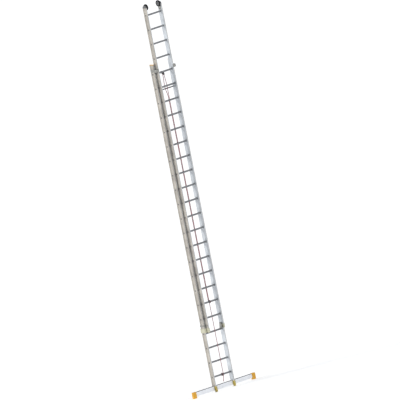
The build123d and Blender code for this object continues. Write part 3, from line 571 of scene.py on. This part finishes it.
# %% [markdown]
# ## Coil springs with Geometry Nodes
# Beside each hook a wire spring is wound round the bolt. A Spiral node makes the line of the
# wire, a small circle is swept along it, and the result is laid on its side and moved to the
# bolt. The two springs share one node group: its inputs are set for each, and what the group
# makes is turned into a plain mesh, because a finished piece carries no modifier.

# %% Spring group
WIRE_RADIUS = 0.0011
SPRING_TURNS = 4.5
COIL_RESOLUTION = 28
WIRE_RESOLUTION = 10


def spring_group():
    """A node group that winds a spring along X about a centre."""
    group = bpy.data.node_groups.new("coil_spring", "GeometryNodeTree")
    group.interface.new_socket("Centre", in_out="INPUT", socket_type="NodeSocketVector")
    group.interface.new_socket("Length", in_out="INPUT", socket_type="NodeSocketFloat")
    group.interface.new_socket("Radius", in_out="INPUT", socket_type="NodeSocketFloat")
    group.interface.new_socket("Metal", in_out="INPUT", socket_type="NodeSocketMaterial")
    group.interface.new_socket("Geometry", in_out="OUTPUT", socket_type="NodeSocketGeometry")
    entry = group.nodes.new("NodeGroupInput")
    result = group.nodes.new("NodeGroupOutput")
    spiral = group.nodes.new("GeometryNodeCurveSpiral")
    spiral.inputs["Resolution"].default_value = COIL_RESOLUTION
    spiral.inputs["Rotations"].default_value = SPRING_TURNS
    wire = group.nodes.new("GeometryNodeCurvePrimitiveCircle")
    wire.inputs["Resolution"].default_value = WIRE_RESOLUTION
    wire.inputs["Radius"].default_value = WIRE_RADIUS
    sweep = group.nodes.new("GeometryNodeCurveToMesh")
    sweep.inputs["Fill Caps"].default_value = True
    lay = group.nodes.new("GeometryNodeTransform")
    lay.inputs["Rotation"].default_value = (0, math.pi / 2, 0)
    smooth = group.nodes.new("GeometryNodeSetShadeSmooth")
    whole = group.nodes.new("GeometryNodeRealizeInstances")
    paint = group.nodes.new("GeometryNodeSetMaterial")
    link = group.links.new
    link(entry.outputs["Length"], spiral.inputs["Height"])
    link(entry.outputs["Radius"], spiral.inputs["Start Radius"])
    link(entry.outputs["Radius"], spiral.inputs["End Radius"])
    link(spiral.outputs["Curve"], sweep.inputs["Curve"])
    link(wire.outputs["Curve"], sweep.inputs["Profile Curve"])
    link(sweep.outputs["Mesh"], lay.inputs["Geometry"])
    link(entry.outputs["Centre"], lay.inputs["Translation"])
    link(lay.outputs["Geometry"], smooth.inputs["Geometry"])
    link(smooth.outputs["Geometry"], whole.inputs["Geometry"])
    link(whole.outputs["Geometry"], paint.inputs["Geometry"])
    link(entry.outputs["Metal"], paint.inputs["Material"])
    link(paint.outputs["Geometry"], result.inputs["Geometry"])
    return group


def grown(name, group, values):
    """The plain mesh that a node group makes with the given inputs."""
    carrier = make_object(f"{name}_carrier", [(0, 0, 0)], [])
    modifier = carrier.modifiers.new("grow", "NODES")
    modifier.node_group = group
    for item in group.interface.items_tree:
        if item.in_out == "INPUT" and item.name in values:
            modifier[item.identifier] = values[item.name]
    bpy.context.view_layer.update()
    made = bpy.data.meshes.new_from_object(carrier.evaluated_get(bpy.context.evaluated_depsgraph_get()))
    bpy.data.objects.remove(carrier)
    piece = bpy.data.objects.new(name, made)
    bpy.context.scene.collection.objects.link(piece)
    return piece


# %% [markdown]
# ## Wind the two springs
# The box of the CAD sleeve that stands for a spring gives its length and its radius. The wire's
# own thickness comes off both, so that the coil fills the sleeve's space and no more.

# %% Springs
coil = spring_group()
for side_name, side in SIDES:
    low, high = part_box(f"hook_spring_{side_name}")
    length = high.x - low.x - 2 * WIRE_RADIUS
    start = Vector((low.x + WIRE_RADIUS, (low.y + high.y) / 2, (low.z + high.z) / 2))
    spring = grown(f"hook_coil_{side_name}", coil, {
        "Centre": start,
        "Length": length,
        "Radius": (high.y - low.y) / 2 - WIRE_RADIUS,
        "Metal": zinc_metal,
    })
    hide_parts(f"hook_spring_{side_name}")
    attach(spring, "fly")
    print(spring.name, len(spring.data.polygons), "faces")

# %% [markdown]
# ## Walk the ropes' lines at even steps
# Each rope's centre line is walked again at steps of one centimetre.

DECLARED_STEP = 0.01
for name, exit_point, far_end, lay, pieces in (
    ("rope_haul", HAUL_ROUTE[0], "object", "taut", [hitch]),
    ("rope_lift", LIFT_ROUTE[0], "object", "taut", [knot]),
    ("rope_tail", TAIL_ROUTE[0], "knot", "hanging", [end_knot]),
):
    line = walk(lines[name], DECLARED_STEP)

# %% [markdown]
# ## Floor and light
# A tall thin object on a plain pale ground needs soft, even light, or its rails burn out. The
# camera sees a white world and a glowing floor, while the light that reaches the ladder comes from
# a dimmer sky and three distant lamps: a strong one on the left, a little behind, for the broad
# sides of the rails, a weaker one in front for the faces that look at the climber, and one from
# above. The one behind also throws the base's shadow on the fly, which draws a dark line between
# the two sections.

# %% Studio
FLOOR_SIZE = 400.0
SEEN_GLOW = 0.27
CAST_GLOW = 0.08
SKY_STRENGTH = 0.4
floor_mesh = bpy.data.meshes.new("floor")
half = FLOOR_SIZE / 2
corners = [(-half, -half, 0), (half, -half, 0), (half, half, 0), (-half, half, 0)]
floor_mesh.from_pydata(corners, [], [(0, 1, 2, 3)])
floor = bpy.data.objects.new("floor", floor_mesh)
bpy.context.scene.collection.objects.link(floor)
floor_paint = bpy.data.materials.new("pale_floor")
floor_paint.use_nodes = True
floor_shader = floor_paint.node_tree.nodes["Principled BSDF"]
floor_shader.inputs["Base Color"].default_value = (0.9, 0.9, 0.9, 1)
floor_shader.inputs["Roughness"].default_value = 0.9
floor_shader.inputs["Specular IOR Level"].default_value = 0.1
floor_shader.inputs["Emission Color"].default_value = (1, 1, 1, 1)
floor_tree = floor_paint.node_tree
floor_ray = floor_tree.nodes.new("ShaderNodeLightPath")
glow = floor_tree.nodes.new("ShaderNodeMath")
glow.operation = "MULTIPLY_ADD"
glow.inputs[1].default_value = SEEN_GLOW
glow.inputs[2].default_value = CAST_GLOW
floor_tree.links.new(floor_ray.outputs["Is Camera Ray"], glow.inputs[0])
floor_tree.links.new(glow.outputs[0], floor_shader.inputs["Emission Strength"])
floor.data.materials.append(floor_paint)

world = bpy.data.worlds.new("studio")
bpy.context.scene.world = world
world.use_nodes = True
sky = world.node_tree
ray = sky.nodes.new("ShaderNodeLightPath")
seen = sky.nodes.new("ShaderNodeBackground")
seen.inputs["Color"].default_value = (1, 1, 1, 1)
dim = sky.nodes["Background"]
dim.inputs["Color"].default_value = (0.93, 0.96, 1.0, 1)
dim.inputs["Strength"].default_value = SKY_STRENGTH
choose = sky.nodes.new("ShaderNodeMixShader")
sky.links.new(ray.outputs["Is Camera Ray"], choose.inputs["Fac"])
sky.links.new(dim.outputs["Background"], choose.inputs[1])
sky.links.new(seen.outputs["Background"], choose.inputs[2])
sky.links.new(choose.outputs["Shader"], sky.nodes["World Output"].inputs["Surface"])


def distant_lamp(name, towards, spread, strength):
    """A soft light far away in a given direction, even along the whole height."""
    data = bpy.data.lights.new(name, "SUN")
    data.angle = math.radians(spread)
    data.energy = strength
    light = bpy.data.objects.new(name, data)
    bpy.context.scene.collection.objects.link(light)
    light.rotation_mode = "QUATERNION"
    light.rotation_quaternion = (-Vector(towards)).to_track_quat("-Z", "Y")
    return light


distant_lamp("front", (2, -8, 3), 20, 1.1)
distant_lamp("behind left", (-12, 4, 4), 12, 2.1)
distant_lamp("top", (0, -3, 8), 40, 0.4)
